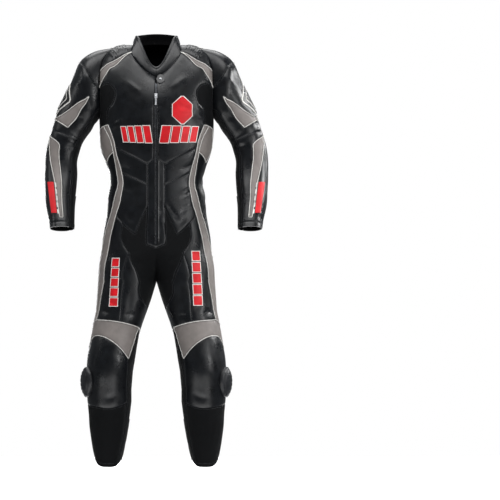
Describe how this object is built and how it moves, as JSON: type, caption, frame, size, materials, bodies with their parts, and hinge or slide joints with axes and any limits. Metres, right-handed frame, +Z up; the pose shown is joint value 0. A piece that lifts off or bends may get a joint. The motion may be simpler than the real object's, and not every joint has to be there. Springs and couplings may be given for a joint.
{
  "type": "motorcycle race suit",
  "caption": "One-piece leather race suit, filled out and hollow, with stretch inserts, grey side bands, armoured knees and knee pucks.",
  "frame": {"origin": "middle of the neck opening at the foot of the collar, where the wearer's neck holds the suit", "axes": "+Z up, the front of the suit faces -Y, +X is the wearer's left"},
  "size_m": [0.738, 0.2575, 1.4268],
  "materials": {
    "black_leather": "semi-gloss grained cowhide",
    "stretch_fabric": "matte ribbed stretch cloth",
    "grey_leather": "satin smooth leather",
    "puck_plastic": "scuffed gloss",
    "zip_metal": "bright"
  },
  "bodies": {
    "root": {"chest_L": "black_leather", "chest_R": "black_leather", "belly_upper_L": "black_leather", "belly_upper_R": "black_leather", "belly_lower_L": "black_leather", "belly_lower_R": "black_leather", "thigh_inner_L": "black_leather", "thigh_inner_R": "black_leather", "thigh_front_L": "black_leather", "thigh_front_R": "black_leather", "armpit_stretch_L": "stretch_fabric", "armpit_stretch_R": "stretch_fabric", "shoulder_crescent_L": "grey_leather", "shoulder_crescent_R": "grey_leather", "shoulder_top_L": "black_leather", "shoulder_top_R": "black_leather", "side_gusset_L": "grey_leather", "side_gusset_R": "grey_leather", "side_band_L": "grey_leather", "side_band_R": "grey_leather", "side_panel_L": "black_leather", "side_panel_R": "black_leather", "side_back_band_L": "grey_leather", "side_back_band_R": "grey_leather", "seat_L": "black_leather", "seat_R": "black_leather", "knee_band_L": "grey_leather", "knee_band_R": "grey_leather", "knee_panel_L": "black_leather", "knee_panel_R": "black_leather", "shin_panel_L": "stretch_fabric", "shin_panel_R": "stretch_fabric", "calf_panel_L": "stretch_fabric", "calf_panel_R": "stretch_fabric", "shoulder_cap_L": "black_leather", "shoulder_cap_R": "black_leather", "upper_sleeve_L": "black_leather", "upper_sleeve_R": "black_leather", "arm_spear_L": "grey_leather", "arm_spear_R": "grey_leather", "arm_rear_panel_L": "grey_leather", "arm_rear_panel_R": "grey_leather", "under_sleeve_L": "stretch_fabric", "under_sleeve_R": "stretch_fabric", "forearm_band_L": "grey_leather", "forearm_band_R": "grey_leather", "forearm_L": "black_leather", "forearm_R": "black_leather", "knee_puck_L": "puck_plastic", "knee_puck_R": "puck_plastic", "front_placket": "black_leather", "crotch_stretch": "stretch_fabric", "back_yoke": "grey_leather", "back_panel": "black_leather", "lumbar_panel": "grey_leather", "collar": "black_leather", "collar_tab": "black_leather", "zip_slider": "zip_metal"},
    "zip_pull": {"zip_pull": "zip_metal"}
  },
  "joints": [
    {"name": "zip_pull_hinge", "type": "hinge", "parent": "root", "child": "zip_pull", "pos_m": [0, -0.12304, -0.153], "axis": [-1, 0, 0], "range_deg": [0, 140]}
  ]
}
